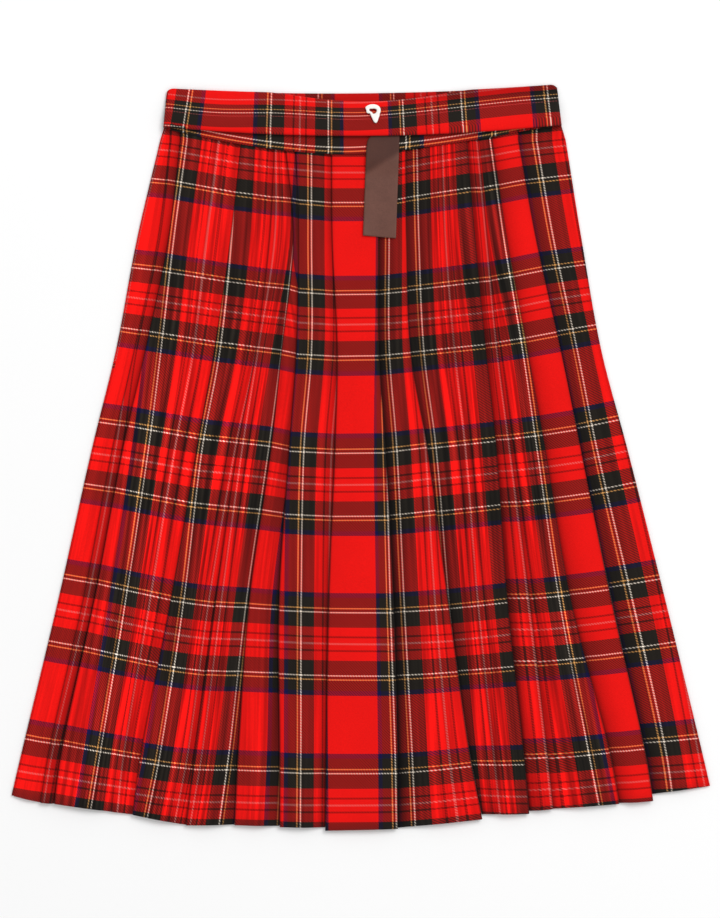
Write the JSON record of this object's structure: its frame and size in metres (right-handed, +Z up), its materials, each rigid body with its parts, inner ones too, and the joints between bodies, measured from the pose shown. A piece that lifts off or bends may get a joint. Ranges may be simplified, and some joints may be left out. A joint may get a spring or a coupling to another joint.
{
  "type": "pleated skirt",
  "caption": "Pleated tartan skirt laid flat, with a waistband, curved yoke strip, cloth tab and small loop, its knife pleats turned away from a plain centre panel.",
  "frame": {"origin": "middle of the skirt's outline, on the surface that its back lies on", "axes": "+Z up from the surface through the front, +Y from hem to waist, +X to the right seen from above"},
  "size_m": [0.6292, 0.6717, 0.0108],
  "materials": {
    "tartan_cloth": "woven wool twill, matte",
    "tab_cloth": "woven satin, slight sheen",
    "loop_plastic": "smooth"
  },
  "bodies": {
    "root": {"back_panel": "tartan_cloth", "front_panel": "tartan_cloth", "waistband_front": "tartan_cloth", "waistband_back": "tartan_cloth", "yoke_left": "tartan_cloth", "yoke_right": "tartan_cloth", "cloth_tab": "tab_cloth", "plastic_loop": "loop_plastic"}
  },
  "joints": []
}
